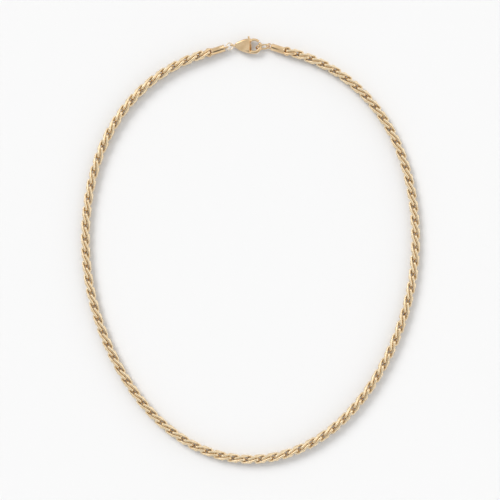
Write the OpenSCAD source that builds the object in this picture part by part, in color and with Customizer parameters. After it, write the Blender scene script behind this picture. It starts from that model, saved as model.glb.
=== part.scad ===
// Twisted gold neck chain, fastened and laid flat. The loop lies in the XY plane with its clasp
// towards +Y, and rests on z = 0. The origin is below the middle of the whole necklace.

/* [Loop] */
// Mean distance from the loop's centre to the chain's middle line
loop_radius = 71.8; // [71:0.1:76]
// How far the loop is drawn out towards the clasp and away from it
loop_stretch = 8; // [7:0.1:9]
// How much the loop narrows away from the clasp
loop_egg = 1.45; // [1:0.05:1.8]
// How much the loop's shoulders are squared
loop_square = 0.5; // [0:0.05:0.8]
// How much the loop is flattened beside the clasp
loop_flat = 0.4; // [0:0.05:0.6]
// Distance from the origin to the loop's centre, towards the clasp
loop_shift = 0.58; // [0.4:0.01:0.7]
// Angle at which the left half's last link meets its cap
left_end_angle = 101.2; // [100:0.1:103]
// Angle at which the right half's last link meets its cap
right_end_angle = 80.3; // [78:0.1:81]

/* [Weave] */
// Number of links in the whole chain
link_count = 160; // [156:2:160]
// Diameter of the wire
wire_d = 0.82; // [0.7:0.01:0.82]
// Length of a link between its ends' middle lines
link_length = 6.84; // [6.8:0.01:6.86]
// Width of a link between its sides' middle lines
link_width = 2.7; // [2.68:0.01:2.74]
// Radius of a link's corners
link_corner = 1; // [0.9:0.05:1.1]
// Twist from one end of a link to the other
link_twist = 78; // [74:1:80]
// Share of the twist that is wound into the link's middle
twist_in_middle = 1; // [0.9:0.05:1.1]
// Turn of every link about the chain's own line
chain_roll = 43; // [0:1:90]
// How far that turn sways once round the loop
roll_sway = 5; // [0:1:12]
// Direction in which the sway is greatest
roll_sway_at = 180; // [0:5:360]

/* [End caps] */
// Diameter of a cap
cap_d = 2.8; // [2.6:0.05:3.2]
// Length of a cap
cap_length = 5.3; // [4.5:0.1:5.4]
// Rise of both caps towards the clasp
cap_rise = 17.5; // [16:0.5:19]
// Rounding of a cap's edges
cap_edge = 0.25; // [0.1:0.05:0.4]
// Wire of the soldered loops and staples on the caps
cap_wire_d = 0.5; // [0.4:0.05:0.55]

/* [Rings] */
// Middle radius of the round jump ring at the clasp's tail
jump_ring_r = 1.3; // [1.28:0.01:1.32]
// Wire of the jump ring
jump_wire_d = 0.5; // [0.4:0.05:0.5]
// Wire of the oval ring in the clasp's hook
end_wire_d = 0.6; // [0.5:0.05:0.6]
// Half width of the oval ring
end_ring_r = 1.25; // [1.23:0.01:1.3]
// Lean of the oval ring from upright
end_ring_lean = 30; // [20:1:35]

/* [Clasp] */
// Outer radius of the clasp's hook
hook_r = 3.1; // [3.05:0.05:3.15]
// Thickness of the hook's rim
hook_rim = 1.15; // [1.05:0.05:1.2]
// Height of the hook's rim
hook_height = 1.3; // [1.2:0.05:1.35]
// Height of the clasp's body
body_height = 2.7; // [2.5:0.05:2.8]
// Distance from the hook's centre to the middle of the tail's eye
tail_reach = 8.27; // [8.2:0.01:8.3]
// Largest angle that the lever opens to
lever_open = 24; // [10:1:24]

/* [Hidden] */
$fn = 48;
gold = [0.89, 0.72, 0.45];
// Smallest gap between two pieces
clear = 0.1;
// Solder overlap of joined metal
solder = 0.2;

// Weave
wire_r = wire_d / 2;
wire_sides = 5;
// The five-sided section has the round wire's area
skin_r = wire_r * sqrt(2 * PI / (wire_sides * sin(360 / wire_sides)));
link_half = link_length / 2;
side_at = link_width / 2;
// A corner is cut straight where its round would be cut by an octagon
corner_cut = link_corner * (2 - sqrt(2));
// From a cap's face to the middle of the link beside it
end_reach = link_half + skin_r + clear;

// Loop
path_steps = 720;
step_angle = (360 + right_end_angle - left_end_angle) / path_steps;

// Caps and rings
cap_r = cap_d / 2;
cap_wire_r = cap_wire_d / 2;
left_loop_r = 0.72;
right_loop_r = 0.9;
staple_gap = 0.12;
loop_slack = 0.05;
eye_slack = -0.03;
end_wire_r = end_wire_d / 2;
// Where the oval ring crosses the clasp's hook, from the hook's centre
hook_seat = [0.95, -0.68];

// Clasp
clasp_lean = -1.6;
rim_r = hook_rim / 2;
bow_r = hook_r - rim_r;
mouth_r = hook_r - hook_rim;
body_front = -0.9;
tail_end = -7.5;
tail_half = 0.7;
tail_half_height = 0.6;
eye_r = 0.8;
eye_wire_r = 0.33;
pivot = [-1.5, 2];
pin_r = 0.32;
pin_play = 0.05;
hub_r = 0.72;
slot_r = 1.5;
slot_height = 1.2;
lever_height = 1;
gate_thick = 0.7;
gate_reach = 3.44;
gate_gap = 0.12;
tab_end = [-2.15, 3.4];
tab_r = 0.42;
tab_thick = 0.6;

// Points on the laid loop, by the angle from +X
function loop_r(t) = loop_radius - loop_stretch * cos(2 * t) + loop_egg * sin(3 * t)
                     + loop_square * cos(4 * t) - loop_flat * sin(5 * t);
function loop_point(t) = [loop_r(t) * cos(t), loop_shift + loop_r(t) * sin(t)];
function loop_heading(t) = let (d = loop_point(t + 0.1) - loop_point(t - 0.1)) atan2(d.y, d.x);
function step_point(i) = loop_point(left_end_angle + i * step_angle);

// Length run along the loop at each step, beside the step's angle
run = [for (i = 0, s = 0; i <= path_steps; s = s + norm(step_point(i + 1) - step_point(i)), i = i + 1)
       [s, left_end_angle + i * step_angle]];
link_pitch = (run[path_steps][0] - 2 * end_reach) / (link_count - 1);
function link_angle(i) = lookup(end_reach + i * link_pitch, run);
// Every other link is a quarter turn on
function link_roll(i) = chain_roll + roll_sway * cos(link_angle(i) - roll_sway_at) + 90 * (i % 2);

// A link's middle line lies flat first: half of its outline, then the same half turned round
half_outline = [[link_half, side_at - corner_cut], [link_half - corner_cut, side_at], [0, side_at],
                [corner_cut - link_half, side_at], [-link_half, side_at - corner_cut]];
link_outline = concat(half_outline, -half_outline);
ring_count = len(link_outline);
function twist_at(x) = -link_twist / 2 * ((1 - twist_in_middle) * x / link_half
                                          + twist_in_middle * sin(90 * x / link_half));
function unit(v) = v / norm(v);
function spine_point(p, roll) = [p.x, p.y * cos(twist_at(p.x) + roll), p.y * sin(twist_at(p.x) + roll)];
function flat_normal(p, roll) = [0, -sin(twist_at(p.x) + roll), cos(twist_at(p.x) + roll)];

// One round of points on the wire's skin, square to the middle line
function wire_ring(j, roll) =
    let (here = spine_point(link_outline[j], roll),
         next = spine_point(link_outline[(j + 1) % ring_count], roll),
         last = spine_point(link_outline[(j + ring_count - 1) % ring_count], roll),
         along = unit(unit(next - here) + unit(here - last)),
         up = flat_normal(link_outline[j], roll),
         flat = unit(up - (up * along) * along),
         out = cross(along, flat))
    [for (k = [0:wire_sides - 1]) let (w = 360 * k / wire_sides)
        here + skin_r * (cos(w) * out + sin(w) * flat)];
function skin_index(j, k) = (j % ring_count) * wire_sides + k % wire_sides;
link_faces = [for (j = [0:ring_count - 1], k = [0:wire_sides - 1], half = [0, 1])
    half == 0 ? [skin_index(j, k), skin_index(j, k + 1), skin_index(j + 1, k + 1)]
              : [skin_index(j, k), skin_index(j + 1, k + 1), skin_index(j + 1, k)]];

// The chain's own line lies so high that its lowest link rests on the surface
axis_z = -min([for (i = [0:link_count - 1], j = [0:ring_count - 1], p = wire_ring(j, link_roll(i))) p.z]);

module at_link(i) {
    t = link_angle(i);
    p = loop_point(t);
    translate([p.x, p.y, axis_z]) rotate([0, 0, loop_heading(t)]) children();
}

module twisted_link(i) {
    points = [for (j = [0:ring_count - 1]) each wire_ring(j, link_roll(i))];
    at_link(i) polyhedron(points, link_faces);
}

module left_chain() {
    color(gold) for (i = [0:link_count / 2 - 1]) twisted_link(i);
}

module right_chain() {
    color(gold) for (i = [link_count / 2:link_count - 1]) twisted_link(i);
}

// Both caps point towards the clasp along their own X
left_face = loop_point(left_end_angle);
right_face = loop_point(right_end_angle);
left_way = [cos(cap_rise), sin(cap_rise)];
right_way = [-cos(cap_rise), sin(cap_rise)];
left_loop_at = left_face + (cap_length + left_loop_r) * left_way;
right_loop_at = right_face + (cap_length + right_loop_r) * right_way;

module wire_circle(middle_r, wire) {
    rotate_extrude() translate([middle_r, 0]) circle(wire);
}

module rounded_barrel(r, length, edge) {
    rotate([0, 90, 0]) rotate_extrude() {
        translate([0, edge]) square([r, length - 2 * edge]);
        square([r - edge, length]);
        translate([r - edge, edge]) circle(edge);
        translate([r - edge, length - edge]) circle(edge);
    }
}

// Bent wire that holds a link's end: its bar lies through the link, its legs are soldered to the cap.
// way is -1 for the end before the link and 1 for the end after it.
module staple(i, way) {
    bar_at = link_half - skin_r - staple_gap - cap_wire_r;
    leg_at = skin_r + clear + cap_wire_r;
    leg_length = end_reach + 2 * solder - bar_at;
    at_link(i) rotate([link_roll(i) + twist_at(way * link_half), 0, 0]) {
        translate([way * bar_at, 0, -leg_at]) cylinder(h = 2 * leg_at, r = cap_wire_r);
        for (z = [-leg_at, leg_at]) {
            translate([way * bar_at, 0, z]) sphere(cap_wire_r);
            translate([way * bar_at, 0, z]) rotate([0, way * 90, 0]) cylinder(h = leg_length, r = cap_wire_r);
        }
    }
}

module left_end_cap() {
    color(gold) {
        translate([left_face.x, left_face.y, axis_z]) rotate([0, 0, cap_rise])
            rounded_barrel(cap_r, cap_length, cap_edge);
        translate([left_loop_at.x, left_loop_at.y, axis_z]) rotate([0, 0, cap_rise]) rotate([90, 0, 0])
            wire_circle(left_loop_r, cap_wire_r);
        staple(0, -1);
    }
}

module right_end_cap() {
    color(gold) {
        translate([right_face.x, right_face.y, axis_z]) rotate([0, 0, 180 - cap_rise])
            rounded_barrel(cap_r, cap_length, cap_edge);
        translate([right_loop_at.x, right_loop_at.y, axis_z]) wire_circle(right_loop_r, cap_wire_r);
        staple(link_count - 1, 1);
    }
}

// The jump ring lies flat, through the left cap's loop and the eye of the clasp's tail
jump_at = left_loop_at + (jump_ring_r + loop_slack) * left_way;
eye_at = jump_at + (jump_ring_r + eye_slack) * left_way;

module jump_ring() {
    color(gold) translate([jump_at.x, jump_at.y, axis_z]) wire_circle(jump_ring_r, jump_wire_d / 2);
}

clasp_at = eye_at + tail_reach * [cos(clasp_lean), sin(clasp_lean)];
function on_clasp(p) = clasp_at + [p.x * cos(clasp_lean) - p.y * sin(clasp_lean),
                                   p.x * sin(clasp_lean) + p.y * cos(clasp_lean)];

// The oval ring runs from the hook to the right cap's loop, leaning over its own long line
seat_at = on_clasp(hook_seat);
end_span = norm(right_loop_at - seat_at);
end_way = right_loop_at - seat_at;

module end_ring() {
    straight = end_span - 2 * end_ring_r;
    color(gold) translate([seat_at.x, seat_at.y, axis_z]) rotate([0, 0, atan2(end_way.y, end_way.x)])
        rotate([90 - end_ring_lean, 0, 0]) {
            for (y = [-end_ring_r, end_ring_r])
                translate([end_ring_r, y, 0]) rotate([0, 90, 0]) cylinder(h = straight, r = end_wire_r);
            translate([end_ring_r, 0, 0]) rotate([0, 0, 90])
                rotate_extrude(angle = 180) translate([end_ring_r, 0]) circle(end_wire_r);
            translate([end_ring_r + straight, 0, 0]) rotate([0, 0, -90])
                rotate_extrude(angle = 180) translate([end_ring_r, 0]) circle(end_wire_r);
        }
}

module at_clasp() {
    translate([clasp_at.x, clasp_at.y, axis_z]) rotate([0, 0, clasp_lean]) children();
}

// Radius of an arc that falls by drop over the length reach
function arc_r(reach, drop) = (reach * reach + drop * drop) / (2 * drop);

// Drop shape of the body, between two long arcs
module body_plan() {
    long_r = arc_r(-tail_end, hook_r - tail_half);
    intersection() {
        translate([0, hook_r - long_r]) circle(long_r, $fn = 200);
        translate([0, long_r - hook_r]) circle(long_r, $fn = 200);
        translate([tail_end, -hook_r]) square([body_front - tail_end, 2 * hook_r]);
    }
}

// The body's faces are crowned across and fall away to the tail
module body_block() {
    crown_drop = 0.5;
    across_r = arc_r(hook_r, crown_drop);
    tail_drop = body_height / 2 - tail_half_height;
    down_r = arc_r(body_front - tail_end, tail_drop);
    intersection() {
        linear_extrude(body_height, center = true) body_plan();
        for_both_faces(across_r) rotate([0, 90, 0]) cylinder(h = 30, r = across_r, center = true, $fn = 200);
        for_both_faces(down_r) translate([body_front, 0, 0]) rotate([90, 0, 0])
            cylinder(h = 30, r = down_r, center = true, $fn = 200);
    }
}

// What a large round and its mirror image share, where each just reaches a face of the body
module for_both_faces(r) {
    intersection() {
        translate([0, 0, body_height / 2 - r]) children();
        translate([0, 0, r - body_height / 2]) children();
    }
}

module hook_bow() {
    round_at = max(hook_height / 2 - rim_r, 0);
    from = -125;
    to = 60;
    difference() {
        rotate([0, 0, from]) rotate_extrude(angle = to - from) translate([bow_r, 0]) {
            for (z = [-round_at, round_at]) translate([0, z]) circle(rim_r);
            square([hook_rim, 2 * round_at], center = true);
        }
        translate([pivot.x, pivot.y, 0]) cylinder(h = 2 * hook_height, r = gate_reach + gate_gap, center = true);
    }
}

module clasp_body() {
    color(gold) at_clasp() {
        difference() {
            body_block();
            translate([pivot.x, pivot.y, 0]) cylinder(h = slot_height, r = slot_r, center = true);
        }
        translate([pivot.x, pivot.y, 0]) cylinder(h = slot_height + 2 * solder, r = pin_r, center = true);
        hook_bow();
        translate([-tail_reach, 0, 0]) rotate([90, 0, 0]) wire_circle(eye_r, eye_wire_r);
    }
}

// The gate follows the hook's bow from the pin to the hook's tip
module gate_plan() {
    intersection() {
        difference() {
            circle(bow_r + gate_thick / 2);
            circle(bow_r - gate_thick / 2);
        }
        translate(pivot) circle(gate_reach);
        polygon([[0, 0], [3 * pivot.x, 3 * pivot.y], [0, 3 * hook_r], [3 * hook_r, 0]]);
    }
}

module clasp_lever() {
    tab_way = tab_end - pivot;
    color(gold) at_clasp() linear_extrude(lever_height, center = true) difference() {
        union() {
            gate_plan();
            translate(pivot) circle(hub_r);
            translate(tab_end) circle(tab_r);
            translate(pivot) rotate(atan2(tab_way.y, tab_way.x)) translate([0, -tab_thick / 2])
                square([norm(tab_way), tab_thick]);
        }
        translate(pivot) circle(pin_r + pin_play);
    }
}

left_chain();
right_chain();
left_end_cap();
right_end_cap();
jump_ring();
end_ring();
clasp_body();
clasp_lever();
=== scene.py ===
# Twisted gold neck chain, fastened and laid flat: its visible pieces, their finish and the stage
import bpy
import bmesh
from math import atan2, cos, pi, radians, sin, sqrt
from mathutils import Matrix, Vector


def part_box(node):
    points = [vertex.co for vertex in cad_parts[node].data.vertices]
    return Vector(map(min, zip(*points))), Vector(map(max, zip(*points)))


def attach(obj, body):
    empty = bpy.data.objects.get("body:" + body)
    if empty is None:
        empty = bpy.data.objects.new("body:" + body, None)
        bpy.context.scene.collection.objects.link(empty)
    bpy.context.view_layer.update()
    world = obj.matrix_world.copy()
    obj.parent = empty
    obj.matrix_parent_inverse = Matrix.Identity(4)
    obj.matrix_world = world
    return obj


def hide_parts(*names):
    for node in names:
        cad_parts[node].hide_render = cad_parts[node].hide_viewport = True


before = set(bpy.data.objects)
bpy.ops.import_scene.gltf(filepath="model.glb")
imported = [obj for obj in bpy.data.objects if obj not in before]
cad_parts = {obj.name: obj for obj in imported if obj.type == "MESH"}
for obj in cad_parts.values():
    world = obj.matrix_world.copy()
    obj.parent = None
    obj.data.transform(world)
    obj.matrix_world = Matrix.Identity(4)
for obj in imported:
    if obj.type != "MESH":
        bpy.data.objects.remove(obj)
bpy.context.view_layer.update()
scene = bpy.context.scene
mm = 0.001    # sizes below are in millimetres where no other unit is named
touch = 1e-7  # points nearer than this, in metres, count as one

goldLook = {
    "bright": (0.94, 0.775, 0.53, 1),     # clean polished yellow gold
    "deep": (0.88, 0.685, 0.435, 1),      # where the alloy looks a little redder
    # tone patches, as many as their size says in a metre
    "patchSize": 900.0, "patchDetail": 2.0, "patchEdges": (0.35, 0.65),
    # polishing marks, counted the same way, and their height in metres
    "markSize": 5200.0, "markDetail": 4.0, "markGrain": 0.65, "markEdges": (0.3, 0.7),
    "roughLow": 0.22, "roughHigh": 0.32, "markHeight": 0.000004, "markShare": 0.5,
}
fittingLook = dict(
    goldLook, bright=(0.88, 0.67, 0.42, 1), deep=(0.76, 0.54, 0.31, 1),
    patchSize=420.0, markSize=2600.0, roughLow=0.12, roughHigh=0.17)
# the jump ring's gold is a paler copy of the fittings' gold: a painted highlight for the washed-out shine
# the light leaves on the ring
washedHighlightLook = dict(fittingLook, bright=(0.97, 0.86, 0.7, 1), deep=(0.93, 0.8, 0.62, 1), patchSize=350.0)


def addNode(tree, kind, place, **settings):
    node = tree.nodes.new(kind)
    node.location = place
    for key, value in settings.items():
        setattr(node, key, value)
    return node


def setInputs(node, values):
    for label, value in values.items():
        node.inputs[label].default_value = value


def setRange(node, edges):
    setInputs(node, {"From Min": edges[0], "From Max": edges[1]})


def startGroup(name, inputs, outputs):
    tree = bpy.data.node_groups.new(name, "ShaderNodeTree")
    for label, kind, value in inputs:
        socket = tree.interface.new_socket(name=label, in_out="INPUT", socket_type=kind)
        if value is not None:
            socket.default_value = value
    for label, kind in outputs:
        tree.interface.new_socket(name=label, in_out="OUTPUT", socket_type=kind)
    return tree, addNode(tree, "NodeGroupInput", (-900, 0)), addNode(tree, "NodeGroupOutput", (700, 0))


def makeToneGroup():
    # soft patches between two gold tones, so that no two links look quite alike
    tree, enter, leave = startGroup(
        "goldTone",
        [("Vector", "NodeSocketVector", None), ("Bright", "NodeSocketColor", goldLook["bright"]),
         ("Deep", "NodeSocketColor", goldLook["deep"]), ("Size", "NodeSocketFloat", goldLook["patchSize"])],
        [("Color", "NodeSocketColor")])
    patch = addNode(tree, "ShaderNodeTexNoise", (-600, 0))
    setInputs(patch, {"Detail": goldLook["patchDetail"]})
    ramp = addNode(tree, "ShaderNodeMapRange", (-300, 0))
    setRange(ramp, goldLook["patchEdges"])
    mix = addNode(tree, "ShaderNodeMix", (200, 0), data_type="RGBA")
    link = tree.links.new
    link(enter.outputs["Vector"], patch.inputs["Vector"])
    link(enter.outputs["Size"], patch.inputs["Scale"])
    link(patch.outputs["Fac"], ramp.inputs["Value"])
    link(ramp.outputs["Result"], mix.inputs["Factor"])
    link(enter.outputs["Bright"], mix.inputs[6])
    link(enter.outputs["Deep"], mix.inputs[7])
    link(mix.outputs[2], leave.inputs["Color"])
    return tree


def makePolishGroup():
    # fine polishing marks: a roughness that changes over the metal and a faint height
    tree, enter, leave = startGroup(
        "polishMarks",
        [("Vector", "NodeSocketVector", None), ("Size", "NodeSocketFloat", goldLook["markSize"]),
         ("Low", "NodeSocketFloat", goldLook["roughLow"]),
         ("High", "NodeSocketFloat", goldLook["roughHigh"])],
        [("Roughness", "NodeSocketFloat"), ("Height", "NodeSocketFloat")])
    fine = addNode(tree, "ShaderNodeTexNoise", (-600, 100))
    setInputs(fine, {"Detail": goldLook["markDetail"], "Roughness": goldLook["markGrain"]})
    spread = addNode(tree, "ShaderNodeMapRange", (-300, 100))
    setRange(spread, goldLook["markEdges"])
    link = tree.links.new
    link(enter.outputs["Vector"], fine.inputs["Vector"])
    link(enter.outputs["Size"], fine.inputs["Scale"])
    link(fine.outputs["Fac"], spread.inputs["Value"])
    link(enter.outputs["Low"], spread.inputs["To Min"])
    link(enter.outputs["High"], spread.inputs["To Max"])
    link(spread.outputs["Result"], leave.inputs["Roughness"])
    link(fine.outputs["Fac"], leave.inputs["Height"])
    return tree


toneGroup = makeToneGroup()
polishGroup = makePolishGroup()


def makeGold(name, look):
    material = bpy.data.materials.new(name)
    material.use_nodes = True
    tree = material.node_tree
    shader = tree.nodes["Principled BSDF"]
    setInputs(shader, {"Metallic": 1.0})
    place = addNode(tree, "ShaderNodeTexCoord", (-1100, 0))
    tone = addNode(tree, "ShaderNodeGroup", (-700, 200), node_tree=toneGroup)
    marks = addNode(tree, "ShaderNodeGroup", (-700, -200), node_tree=polishGroup)
    bump = addNode(tree, "ShaderNodeBump", (-350, -300))
    setInputs(tone, {"Bright": look["bright"], "Deep": look["deep"], "Size": look["patchSize"]})
    setInputs(marks, {"Size": look["markSize"], "Low": look["roughLow"], "High": look["roughHigh"]})
    setInputs(bump, {"Strength": look["markShare"], "Distance": look["markHeight"]})
    link = tree.links.new
    link(place.outputs["Object"], tone.inputs["Vector"])
    link(place.outputs["Object"], marks.inputs["Vector"])
    link(tone.outputs["Color"], shader.inputs["Base Color"])
    link(marks.outputs["Roughness"], shader.inputs["Roughness"])
    link(marks.outputs["Height"], bump.inputs["Height"])
    link(bump.outputs["Normal"], shader.inputs["Normal"])
    return material


chainGold = makeGold("chainGold", goldLook)
claspGold = makeGold("claspGold", fittingLook)
# the paler gold of the jump ring is a painted highlight
ringGoldPaintedHighlight = makeGold("ringGoldPaintedHighlight", washedHighlightLook)
print("finish ready")

# The laid loop and its links, as in the part's source but for the rounder ends and the fuller wire
loopForm = {
    "radius": 71.8, "stretch": 8.0, "egg": 1.45, "square": 0.5, "flat": 0.4, "shift": 0.58,
    "leftEnd": 101.2, "rightEnd": 80.3,   # where the caps' faces are, in degrees
    "steps": 1440, "nudge": 0.1,          # for measuring along the line, and its heading
}
linkForm = {
    "count": 160, "length": 6.84, "width": 2.7, "corner": 1.15, "wire": 1.0,
    "twist": 78.0, "roll": 43.0, "sway": 5.0, "swayAt": 180.0,
    "endReach": 3.991,          # from a cap's face to the middle of the link beside it
    "bends": (8, 48, 86),       # where a round corner is held, in degrees
    "sides": 5, "polish": 2,    # sides of the wire before it is smoothed, and smoothing steps
    "easing": 12,               # rounds in which the cage is fitted to the smoothed line
}


def loopPoint(angle):
    t = radians(angle)
    r = (loopForm["radius"] - loopForm["stretch"] * cos(2 * t) + loopForm["egg"] * sin(3 * t)
         + loopForm["square"] * cos(4 * t) - loopForm["flat"] * sin(5 * t))
    return Vector((r * cos(t), loopForm["shift"] + r * sin(t), 0))


def loopHeading(angle):
    way = loopPoint(angle + loopForm["nudge"]) - loopPoint(angle - loopForm["nudge"])
    return atan2(way.y, way.x)


def measureLoop():
    first = loopForm["leftEnd"]
    turn = 360 + loopForm["rightEnd"] - first
    angles = [first + turn * k / loopForm["steps"] for k in range(loopForm["steps"] + 1)]
    lengths = [0.0]
    for one, two in zip(angles, angles[1:]):
        lengths.append(lengths[-1] + (loopPoint(two) - loopPoint(one)).length)
    return lengths, angles


runLengths, runAngles = measureLoop()
linkPitch = (runLengths[-1] - 2 * linkForm["endReach"]) / (linkForm["count"] - 1)


def angleAt(length):
    k = 1
    while runLengths[k] < length:
        k += 1
    part = (length - runLengths[k - 1]) / (runLengths[k] - runLengths[k - 1])
    return runAngles[k - 1] + part * (runAngles[k] - runAngles[k - 1])


chainLow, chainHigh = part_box("left_chain")
axisHeight = (chainLow[2] + chainHigh[2]) / 2 / mm  # the chain's own line above the floor


def linkRoll(i):
    # every other link is a quarter turn on
    angle = angleAt(linkForm["endReach"] + i * linkPitch)
    return linkForm["roll"] + linkForm["sway"] * cos(radians(angle - linkForm["swayAt"])) + 90 * (i % 2)


def levelPlace(i):
    angle = angleAt(linkForm["endReach"] + i * linkPitch)
    spot = loopPoint(angle)
    spot.z = axisHeight
    return Matrix.Translation(spot * mm) @ Matrix.Rotation(loopHeading(angle), 4, "Z")


def linkPlace(i):
    return levelPlace(i) @ Matrix.Rotation(radians(linkRoll(i)), 4, "X")


def setPlace(x, y, turn):
    # a place at the chain's height, with X turned by some degrees
    return Matrix.Translation(Vector((x, y, axisHeight)) * mm) @ Matrix.Rotation(radians(turn), 4, "Z")


def wireFrames(points, ups, closed):
    # a frame at each point: Z runs along the wire, Y keeps to the given side
    frames = []
    count = len(points)
    for k, point in enumerate(points):
        after = points[(k + 1) % count] if closed or k + 1 < count else point
        before = points[(k - 1) % count] if closed or k > 0 else point
        along = ((after - point).normalized() + (point - before).normalized()).normalized()
        side = (ups[k] - ups[k].dot(along) * along).normalized()
        out = side.cross(along)
        frames.append(Matrix((
            (out.x, side.x, along.x, point.x), (out.y, side.y, along.y, point.y),
            (out.z, side.z, along.z, point.z), (0, 0, 0, 1))))
    return frames


def sweepWire(bm, points, ups, radius, sides, closed=True):
    # one round section is drawn out from frame to frame
    frames = wireFrames(points, ups, closed)
    ring = bmesh.ops.create_circle(bm, segments=sides, radius=radius)["verts"]
    first = set(ring)
    edges = [e for e in bm.edges if e.verts[0] in first and e.verts[1] in first]
    if not closed:
        bmesh.ops.contextual_create(bm, geom=edges)
    bmesh.ops.transform(bm, matrix=frames[0], verts=ring)
    stops = frames[1:] + frames[:1] if closed else frames[1:]
    last = frames[0]
    made = list(ring)
    for stop in stops:
        grown = bmesh.ops.extrude_edge_only(bm, edges=edges)["geom"]
        ring = [g for g in grown if isinstance(g, bmesh.types.BMVert)]
        fresh = set(ring)
        edges = [g for g in grown if isinstance(g, bmesh.types.BMEdge) and set(g.verts) <= fresh]
        bmesh.ops.transform(bm, matrix=stop @ last.inverted(), verts=ring)
        last = stop
        made += ring
    if closed:
        bmesh.ops.remove_doubles(bm, verts=made, dist=touch)
    else:
        bmesh.ops.contextual_create(bm, geom=edges)


def setDown(bm, name):
    # the shape becomes an object of the scene
    mesh = bpy.data.meshes.new(name)
    bm.to_mesh(mesh)
    bm.free()
    thing = bpy.data.objects.new(name, mesh)
    scene.collection.objects.link(thing)
    return thing


def putAway(thing):
    # an object that only one step needed leaves the scene
    mesh = thing.data
    bpy.data.objects.remove(thing)
    bpy.data.meshes.remove(mesh)


def takeUp(mesh):
    # a mesh becomes a shape that can be worked on
    bm = bmesh.new()
    bm.from_mesh(mesh)
    bpy.data.meshes.remove(mesh)
    return bm


def meshFrom(bm, setModifiers):
    # the mesh that the given modifiers leave
    bmesh.ops.recalc_face_normals(bm, faces=bm.faces)
    rough = setDown(bm, "rough")
    setModifiers(rough)
    bpy.context.view_layer.update()
    graph = bpy.context.evaluated_depsgraph_get()
    done = bpy.data.meshes.new_from_object(rough.evaluated_get(graph))
    putAway(rough)
    return done


def finishPiece(bm, name, material, body, *nodes):
    bmesh.ops.recalc_face_normals(bm, faces=bm.faces)
    piece = setDown(bm, name)
    for face in piece.data.polygons:
        face.use_smooth = True
    piece.data.materials.append(material)
    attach(piece, body)
    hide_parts(*nodes)


def windAt(share):
    # how far the link is wound, at a share of its half length from its middle
    return -radians(linkForm["twist"]) / 2 * sin(pi / 2 * share)


def easeOut(points):
    # control points whose smoothed closed line runs through the given ones
    count = len(points)
    cage = [point.copy() for point in points]
    for turn in range(linkForm["easing"]):
        smooth = [(cage[k - 1] + 4 * cage[k] + cage[(k + 1) % count]) / 6 for k in range(count)]
        cage = [point + want - now for point, want, now in zip(cage, points, smooth)]
    return cage


def linkLine():
    # the link's middle line: two round ends and two arms, wound about its own length
    a, b, r = linkForm["length"] / 2, linkForm["width"] / 2, linkForm["corner"]
    bend = [(a - r + r * cos(radians(s)), b - r + r * sin(radians(s))) for s in linkForm["bends"]]
    half = bend + [(0, b)] + [(-x, y) for x, y in bend[::-1]]
    flat = half + [(-x, -y) for x, y in half]
    points, ups = [], []
    for x, y in flat:
        wind = windAt(max(-1, min(1, x / a)))
        points.append(Vector((x, y * cos(wind), y * sin(wind))) * mm)
        ups.append(Vector((0, -sin(wind), cos(wind))))
    return easeOut(points), ups


def roundWire(rough):
    step = rough.modifiers.new("smoothed", "SUBSURF")
    step.levels = step.render_levels = linkForm["polish"]


def makeLinkMesh():
    bm = bmesh.new()
    points, ups = linkLine()
    sides = linkForm["sides"]
    shrink = (2 + cos(2 * pi / sides)) / 3  # how far smoothing draws the wire's corners in
    sweepWire(bm, points, ups, linkForm["wire"] / 2 / shrink * mm, sides)
    return meshFrom(bm, roundWire)


def makeChain(name, node, first, last):
    bm = bmesh.new()
    for i in range(first, last):
        start = len(bm.verts)
        bm.from_mesh(linkMesh)
        bm.verts.ensure_lookup_table()
        bmesh.ops.transform(bm, matrix=linkPlace(i), verts=bm.verts[start:])
    finishPiece(bm, name, chainGold, "necklace", node)


linkMesh = makeLinkMesh()
halfCount = linkForm["count"] // 2
makeChain("leftChain", "left_chain", 0, halfCount)
makeChain("rightChain", "right_chain", halfCount, linkForm["count"])
print("chain ready:", linkForm["count"], "links, pitch", round(linkPitch, 3), "mm")

# Both caps point towards the clasp along their own X
capForm = {
    "radius": 1.4, "length": 5.3, "rise": 17.5, "edge": 0.2, "faceInset": 0.8, "segments": 40,
    # the raised lip, and how far the barrel lies below it
    "lip": 0.35, "lipEase": 0.06, "waist": 0.04, "waistShare": 0.7,
    # the soldered loops
    "wire": 0.5, "leftLoop": 0.72, "rightLoop": 0.9, "loopSteps": 20, "loopSides": 10,
    # a half link reaches into the cap by solder, drawn in to closeTo at the face and to sinkTo inside
    "solder": 0.9, "closeTo": 0.76, "closeOver": 1.05, "sinkTo": 0.5, "sinkOver": 0.6,
    "armSteps": 8, "linkSides": 12,
}
leftFace = loopPoint(loopForm["leftEnd"])
rightFace = loopPoint(loopForm["rightEnd"])
leftWay = Vector((cos(radians(capForm["rise"])), sin(radians(capForm["rise"])), 0))
rightWay = Vector((-leftWay.x, leftWay.y, 0))


def joinIn(bm, part, matrix):
    # a finished part is set down in its place and joined to the piece
    bmesh.ops.transform(part, matrix=matrix, verts=part.verts)
    mesh = bpy.data.meshes.new("part")
    part.to_mesh(mesh)
    part.free()
    bm.from_mesh(mesh)
    bpy.data.meshes.remove(mesh)


def turnProfile(profile, segments):
    # an outline from axis to axis is turned once round X
    bm = bmesh.new()
    spots = [bm.verts.new((x * mm, y * mm, 0)) for x, y in profile]
    edges = [bm.edges.new(pair) for pair in zip(spots, spots[1:])]
    bmesh.ops.spin(bm, geom=spots + edges, cent=(0, 0, 0), axis=(1, 0, 0), angle=2 * pi,
                   steps=segments, use_merge=True)
    ends = [v for v in bm.verts if abs(v.co.y) < touch and abs(v.co.z) < touch]
    bmesh.ops.remove_doubles(bm, verts=ends, dist=touch)
    return bm


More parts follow.
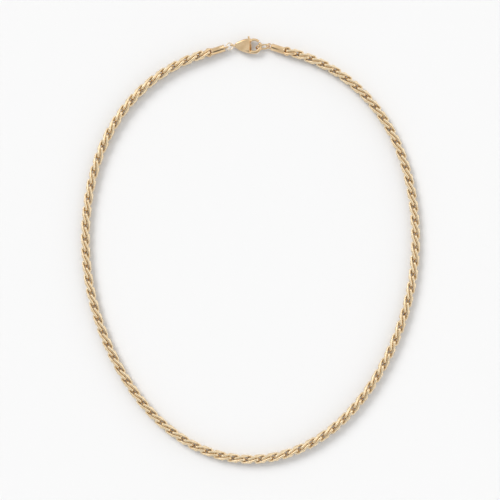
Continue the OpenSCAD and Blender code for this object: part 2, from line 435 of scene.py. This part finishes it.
def capProfile():
    # a turned barrel with a fine raised lip at each end
    r, length, edge = capForm["radius"], capForm["length"], capForm["edge"]
    lip, ease, waist = capForm["lip"], capForm["lipEase"], capForm["waist"]
    rounds = [(edge - edge * cos(radians(q)), r - edge + edge * sin(radians(q)))
              for q in (0, 22.5, 45, 67.5, 90)]
    front = [(0, 0), (0, capForm["faceInset"] * (r - edge))] + rounds + [
        (lip, r), (lip + ease, r - waist * capForm["waistShare"]),
        (lip + 2 * ease, r - waist), (length / 2, r - waist)]
    return front + [(length - x, y) for x, y in front[-2::-1]]


def makeRing(r, wire, steps, sides, straight=0.0, unit=mm):
    # a round ring in XY, or a long one with straight sides along X; the castings' unit is 1
    points = []
    for k in range(steps):
        q = 2 * pi * (k + 0.5) / steps
        shift = straight / 2 if cos(q) > 0 else -straight / 2
        points.append(Vector((r * cos(q) + shift, r * sin(q), 0)) * unit)
    bm = bmesh.new()
    sweepWire(bm, points, [Vector((0, 0, 1))] * steps, wire / 2 * unit, sides)
    return bm


def linkSpot(x, y, room):
    # a point of a soldered half link, which closes in towards the cap's face at room and sinks into it
    near = max(0, min(1, (x - room) / capForm["closeOver"]))
    sunk = max(0, min(1, (room - x) / capForm["sinkOver"]))
    pull = capForm["closeTo"] + (1 - capForm["closeTo"]) * near * near * (3 - 2 * near)
    pull -= (capForm["closeTo"] - capForm["sinkTo"]) * sunk
    wind = windAt(max(-1, min(1, 2 * x / linkForm["length"])))
    return Vector((x, pull * y * cos(wind), pull * y * sin(wind))) * mm, Vector((0, -sin(wind), cos(wind)))


def makeHalfLink(room):
    # the weave goes on into the cap: two arms soldered in it and a round end towards the chain
    a, b, r = linkForm["length"] / 2, linkForm["width"] / 2, linkForm["corner"]
    start, steps = room - capForm["solder"], capForm["armSteps"]
    arm = [(start + (a - r - start) * k / steps, b) for k in range(steps)]
    bend = [(a - r + r * sin(radians(q)), b - r + r * cos(radians(q))) for q in (0, 18, 36, 54, 72, 90)]
    side = arm + bend
    outline = side + [(x, -y) for x, y in side[::-1]]
    points, ups = zip(*[linkSpot(x, y, room) for x, y in outline])
    bm = bmesh.new()
    sweepWire(bm, points, ups, linkForm["wire"] / 2 * mm, capForm["linkSides"], closed=False)
    return bm


def makeCap(name, node, face, way, turn, loop, upright, link, side):
    bm = bmesh.new()
    joinIn(bm, turnProfile(capProfile(), capForm["segments"]), setPlace(face.x, face.y, turn))
    spot = face + (capForm["length"] + loop) * way
    stand = Matrix.Rotation(pi / 2, 4, "X") if upright else Matrix.Identity(4)
    ring = makeRing(loop, capForm["wire"], capForm["loopSteps"], capForm["loopSides"])
    joinIn(bm, ring, setPlace(spot.x, spot.y, turn) @ stand)
    # the two links that the weave would have next, seen from the cap towards the chain
    for past in (1, 2):
        room = linkForm["endReach"] - past * linkPitch
        beyond = Matrix.Translation(Vector((side * past * linkPitch, 0, 0)) * mm)
        over = Matrix.Rotation(radians(linkRoll(link) + 90 * past), 4, "X")
        turned = Matrix.Rotation(pi, 4, "Z") if side > 0 else Matrix.Identity(4)
        joinIn(bm, makeHalfLink(-room), levelPlace(link) @ beyond @ over @ turned)
    finishPiece(bm, name, claspGold, "necklace", node)


makeCap("leftCap", "left_end_cap", leftFace, leftWay, capForm["rise"],
        loop=capForm["leftLoop"], upright=True, link=0, side=-1)
makeCap("rightCap", "right_end_cap", rightFace, rightWay, 180 - capForm["rise"],
        loop=capForm["rightLoop"], upright=False, link=linkForm["count"] - 1, side=1)
print("end caps ready")

# Jump ring, clasp and oval ring follow one another from the left cap's loop to the right one's
ringForm = {
    "jump": 1.3, "jumpWire": 0.5, "jumpSteps": 40, "jumpSlack": 0.05, "eyeSlack": -0.03,
    "oval": 1.25, "ovalWire": 0.66, "ovalSteps": 36, "ovalLean": 30.0,
    "seat": (0.95, -0.68),      # where the oval ring lies in the hook, from the hook's centre
    "sides": 12,
}
claspForm = {
    "lean": -1.6, "reach": 8.27, "voxel": 0.06, "soften": 3,
    # the body, from its slim tail to the front wall that slopes down into the hook's mouth
    "tail": -7.5, "front": -0.9, "fold": -1.3, "slope": 0.85, "wallDrop": 0.9,
    "bodyHeight": 2.7, "tailHalf": 0.7, "tailHalfHeight": 0.6, "square": 4.5,
    "tailRound": 0.6, "tailLower": 0.2, "tailSlimmer": 0.15, "bodySteps": 20, "bodySides": 48,
    # the hook: a bow about the clasp's origin that closes in at its tip
    "hook": 3.1, "bow": {"thick": 1.3, "height": 1.3, "from": -118.0, "to": 36.0,
                         "square": 2.6, "steps": 40, "sides": 24, "tipSteps": 5, "tipArea": 0.06},
    # the tail's eye, the slot for the lever and the pin through it
    "eye": 0.8, "eyeWire": 0.33, "eyeSteps": 28, "eyeSides": 16,
    "pivot": (-1.5, 2.0), "slot": 1.5, "slotHeight": 1.2, "pin": 0.32, "pinOver": 0.4, "discSides": 40,
}
leftLoopAt = leftFace + (capForm["length"] + capForm["leftLoop"]) * leftWay
rightLoopAt = rightFace + (capForm["length"] + capForm["rightLoop"]) * rightWay
jumpAt = leftLoopAt + (ringForm["jump"] + ringForm["jumpSlack"]) * leftWay
eyeAt = jumpAt + (ringForm["jump"] + ringForm["eyeSlack"]) * leftWay
leanWay = Vector((cos(radians(claspForm["lean"])), sin(radians(claspForm["lean"])), 0))
claspAt = eyeAt + claspForm["reach"] * leanWay
claspPlace = setPlace(claspAt.x, claspAt.y, claspForm["lean"])


def makeJumpRing():
    bm = bmesh.new()
    ring = makeRing(ringForm["jump"], ringForm["jumpWire"], ringForm["jumpSteps"], ringForm["sides"])
    joinIn(bm, ring, setPlace(jumpAt.x, jumpAt.y, 0))
    # the jump ring wears the paler gold, a painted highlight
    finishPiece(bm, "jumpRing", ringGoldPaintedHighlight, "necklace", "jump_ring")


def makeOvalRing():
    seat = claspPlace @ (Vector((*ringForm["seat"], 0)) * mm) / mm
    way = rightLoopAt - Vector((seat.x, seat.y, 0))
    straight = way.length - 2 * ringForm["oval"]
    middle = (rightLoopAt + Vector((seat.x, seat.y, 0))) / 2
    place = (Matrix.Translation(Vector((middle.x, middle.y, axisHeight)) * mm)
             @ Matrix.Rotation(atan2(way.y, way.x), 4, "Z")
             @ Matrix.Rotation(radians(90 - ringForm["ovalLean"]), 4, "X"))
    bm = bmesh.new()
    ring = makeRing(
        ringForm["oval"], ringForm["ovalWire"], ringForm["ovalSteps"], ringForm["sides"], straight)
    joinIn(bm, ring, place)
    finishPiece(bm, "ovalRing", claspGold, "necklace", "end_ring")


makeJumpRing()
makeOvalRing()
print("rings ready")


# The clasp's two castings are shaped in millimetres first, then brought to size
def addLoft(bm, sections):
    # rings of equal count are bridged one to the next, and both ends are closed
    rings = []
    for section in sections:
        spots = [bm.verts.new(point) for point in section]
        rings.append([bm.edges.new((spots[k - 1], spots[k])) for k in range(len(spots))])
    for one, two in zip(rings, rings[1:]):
        bmesh.ops.bridge_loops(bm, edges=one + two)
    bmesh.ops.contextual_create(bm, geom=rings[0])
    bmesh.ops.contextual_create(bm, geom=rings[-1])


def squareRound(half, height, power, count):
    # a soft square outline: flat faces with rounded edges
    points = []
    for k in range(count):
        q = 2 * pi * k / count
        c, s = cos(q), sin(q)
        points.append((half * abs(c) ** (2 / power) * (1 if c > 0 else -1),
                       height * abs(s) ** (2 / power) * (1 if s > 0 else -1)))
    return points


def arcDrop(x, reach, drop):
    r = (reach * reach + drop * drop) / (2 * drop)
    return r - sqrt(r * r - x * x)


def bodySections():
    sections = []
    front, tail = claspForm["front"], claspForm["tail"]
    back, steps = front - claspForm["slope"], claspForm["bodySteps"]
    stops = [tail + (back - tail) * k / steps for k in range(steps + 1)] + [claspForm["fold"], front]
    for x in stops:
        half = claspForm["hook"] - arcDrop(x, -tail, claspForm["hook"] - claspForm["tailHalf"])
        tall = claspForm["bodyHeight"] / 2 - arcDrop(
            x - front, front - tail, claspForm["bodyHeight"] / 2 - claspForm["tailHalfHeight"])
        # the front wall slopes down into the hook's mouth, and the tail's end is rounded off
        tall *= 1 - claspForm["wallDrop"] * max(0, 1 - (front - x) / claspForm["slope"])
        near = max(0, 1 - (x - tail) / claspForm["tailRound"])
        tall -= claspForm["tailLower"] * near * near
        half -= claspForm["tailSlimmer"] * near * near
        outline = squareRound(half, tall, claspForm["square"], claspForm["bodySides"])
        sections.append([Vector((x, y, z)) for y, z in outline])
    return sections


def bowSections(form):
    # a soft square section carried along an arc about the hook's centre, which may close in at its tip
    r = claspForm["hook"] - claspForm["bow"]["thick"] / 2
    start, stop, steps = form["from"], form["to"], form["steps"]
    sections = []
    for k in range(steps + 1):
        q = radians(start + (stop - start) * k / steps)
        slim = 1.0
        if "tipSteps" in form:
            left = max(0, 1 - (steps - k) / form["tipSteps"])
            slim = sqrt(max(form["tipArea"], 1 - left * left))
        outline = squareRound(
            form["thick"] / 2 * slim, form["height"] / 2 * slim, form["square"], form["sides"])
        sections.append([Vector(((r + y) * cos(q), (r + y) * sin(q), z)) for y, z in outline])
    return sections


def castSettings(form):
    def settings(rough):
        fill = rough.modifiers.new("joined", "REMESH")
        fill.mode = "VOXEL"
        fill.voxel_size = form["voxel"]
        ease = rough.modifiers.new("eased", "SMOOTH")
        ease.iterations = form["soften"]
    return settings


def finishCast(bm, form, name, body, node):
    cast = takeUp(meshFrom(bm, castSettings(form)))
    bmesh.ops.transform(cast, matrix=claspPlace @ Matrix.Scale(mm, 4), verts=cast.verts)
    finishPiece(cast, name, claspGold, body, node)


def addDisc(bm, r, height):
    # a round disc or pin about the lever's pivot
    x, y = claspForm["pivot"]
    count = claspForm["discSides"]
    ring = [(x + r * cos(2 * pi * k / count), y + r * sin(2 * pi * k / count)) for k in range(count)]
    addLoft(bm, [[Vector((a, b, z)) for a, b in ring] for z in (-height / 2, height / 2)])


def makeSlottedBlock():
    # the body's plain block, less the slot in which the lever turns
    cutter = bmesh.new()
    addDisc(cutter, claspForm["slot"], claspForm["slotHeight"])
    bmesh.ops.recalc_face_normals(cutter, faces=cutter.faces)
    cut = setDown(cutter, "slotCut")

    def slotSettings(rough):
        step = rough.modifiers.new("slot", "BOOLEAN")
        step.operation = "DIFFERENCE"
        step.solver = "EXACT"
        step.object = cut

    block = bmesh.new()
    addLoft(block, bodySections())
    slotted = takeUp(meshFrom(block, slotSettings))
    putAway(cut)
    return slotted


def makeClaspBody():
    form = claspForm
    bm = makeSlottedBlock()
    addLoft(bm, bowSections(form["bow"]))
    eye = makeRing(form["eye"], 2 * form["eyeWire"], form["eyeSteps"], form["eyeSides"], unit=1)
    joinIn(bm, eye, Matrix.Translation((-form["reach"], 0, 0)) @ Matrix.Rotation(pi / 2, 4, "X"))
    addDisc(bm, form["pin"], form["slotHeight"] + form["pinOver"])
    finishCast(bm, form, "claspBody", "necklace", "clasp_body")


leverForm = {
    "thick": 1.0, "height": 1.0, "from": 124.0, "to": 43.0, "square": 4.0, "steps": 24, "sides": 24,
    "hub": 0.72, "voxel": 0.05, "soften": 4,
    # the thumb tab: a stalk that tapers to a knob
    "tab": (-2.15, 3.4), "stalk": 0.6, "stalkRoot": 1.15, "stalkTaper": 0.25, "stalkDrop": 0.1,
    "stalkSteps": 4, "knob": 0.42, "knobRise": 1.15, "knobRounds": 24, "knobRows": 16,
}


def stalkSections():
    # the tab's stalk gets narrower and lower from the pivot to its tip
    form = leverForm
    pivot, tip = Vector((*claspForm["pivot"], 0)), Vector((*form["tab"], 0))
    way = (tip - pivot).normalized()
    side = Vector((-way.y, way.x, 0))
    sections = []
    for k in range(form["stalkSteps"] + 1):
        share = k / form["stalkSteps"]
        wide = form["stalk"] / 2 * (form["stalkRoot"] - form["stalkTaper"] * share)
        tall = form["height"] / 2 * (1 - form["stalkDrop"] * share)
        sections.append([pivot + (tip - pivot) * share + side * y + Vector((0, 0, z))
                         for y, z in squareRound(wide, tall, form["square"], form["sides"])])
    return sections


def makeLever():
    form = leverForm
    bm = bmesh.new()
    addLoft(bm, bowSections(form))
    addDisc(bm, form["hub"], form["height"])
    addLoft(bm, stalkSections())
    bmesh.ops.create_uvsphere(
        bm, u_segments=form["knobRounds"], v_segments=form["knobRows"], radius=form["knob"],
        matrix=Matrix.Translation((*form["tab"], 0)) @ Matrix.Diagonal((1, 1, form["knobRise"], 1)))
    finishCast(bm, form, "claspLever", "lever", "clasp_lever")


makeClaspBody()
makeLever()
print("clasp ready")

# The stage: pale paper in a bright tent, one soft lamp and the view from straight above
stageLook = {
    # the paper's size and the farthest point in view are in metres
    "floorTone": (0.8, 0.8, 0.8, 1), "floorSize": 3.0, "floorRough": 0.9, "floorShine": 0.1,
    # the tent's places have an azimuth and a lean from straight up, their sizes an outer and an inner angle
    "dimTone": (0.6, 0.6, 0.6, 1),
    "brightTone": (1.14, 1.14, 1.14, 1), "brightAt": (-5.0, 90.0), "brightSize": (180.0, 0.0),
    "gapTone": (0.12, 0.12, 0.12, 1), "gapAt": (-68.0, 28.0), "gapSize": (27.0, 14.0),
    "glowTone": (2.7, 2.7, 2.7, 1), "glowAt": (134.0, 50.0), "glowSize": (20.0, 11.0),
    "keyAt": (134.0, 52.0), "keyWidth": 28.0, "keyStrength": 1.66,
    "viewWidth": 195.0, "viewCentre": (-0.2, 0.0), "lens": 135.0, "film": 36.0, "farthest": 20.0,
}


def makePaper():
    paper = bpy.data.materials.new("palePaper")
    paper.use_nodes = True
    shader = paper.node_tree.nodes["Principled BSDF"]
    setInputs(shader, {"Base Color": stageLook["floorTone"], "Roughness": stageLook["floorRough"],
                       "Specular IOR Level": stageLook["floorShine"]})
    return paper


def makeFloor():
    bm = bmesh.new()
    bmesh.ops.create_grid(bm, x_segments=1, y_segments=1, size=stageLook["floorSize"] / 2)
    floor = setDown(bm, "floor")
    floor.data.materials.append(makePaper())


def tentWay(place):
    side, lean = (radians(angle) for angle in stageLook[place])
    return Vector((cos(side) * sin(lean), sin(side) * sin(lean), cos(lean)))


def makeTent():
    # dim walls, and over them a bright side, a dark gap and the glow of the lamp's cloth
    world = bpy.data.worlds.new("softRoom")
    scene.world = world
    world.use_nodes = True
    tree = world.node_tree
    link = tree.links.new
    where = addNode(tree, "ShaderNodeTexCoord", (-1100, 0))
    under = None
    for k, name in enumerate(("bright", "gap", "glow")):
        toward = addNode(tree, "ShaderNodeVectorMath", (-900, 200 - 200 * k), operation="DOT_PRODUCT")
        toward.inputs[1].default_value = tentWay(name + "At")
        rise = addNode(tree, "ShaderNodeMapRange", (-700, 200 - 200 * k), interpolation_type="SMOOTHSTEP")
        setRange(rise, [cos(radians(angle)) for angle in stageLook[name + "Size"]])
        mix = addNode(tree, "ShaderNodeMix", (200 * k - 450, 0), data_type="RGBA")
        mix.inputs[6].default_value = stageLook["dimTone"]
        mix.inputs[7].default_value = stageLook[name + "Tone"]
        link(where.outputs["Generated"], toward.inputs[0])
        link(toward.outputs["Value"], rise.inputs["Value"])
        link(rise.outputs["Result"], mix.inputs["Factor"])
        if under:
            link(under, mix.inputs[6])
        under = mix.outputs[2]
    link(under, tree.nodes["Background"].inputs["Color"])


def makeLamp():
    lamp = bpy.data.lights.new("keyLight", "SUN")
    lamp.angle = radians(stageLook["keyWidth"])
    lamp.energy = stageLook["keyStrength"]
    key = bpy.data.objects.new("keyLight", lamp)
    scene.collection.objects.link(key)
    key.location = tentWay("keyAt")
    key.rotation_euler = (-key.location).to_track_quat("-Z", "Y").to_euler()
    key.visible_glossy = False  # the metal sees the glow of the cloth in its place


def makeCamera():
    view = bpy.data.cameras.new("topView")
    view.lens = stageLook["lens"]
    view.sensor_width = stageLook["film"]
    view.clip_end = stageLook["farthest"]
    camera = bpy.data.objects.new("topView", view)
    scene.collection.objects.link(camera)
    distance = stageLook["lens"] / stageLook["film"] * stageLook["viewWidth"]
    x, y = stageLook["viewCentre"]
    camera.location = Vector((x, y, axisHeight + distance)) * mm
    scene.camera = camera


makeFloor()
makeTent()
makeLamp()
makeCamera()
scene.view_settings.view_transform = "Standard"
print("stage ready")
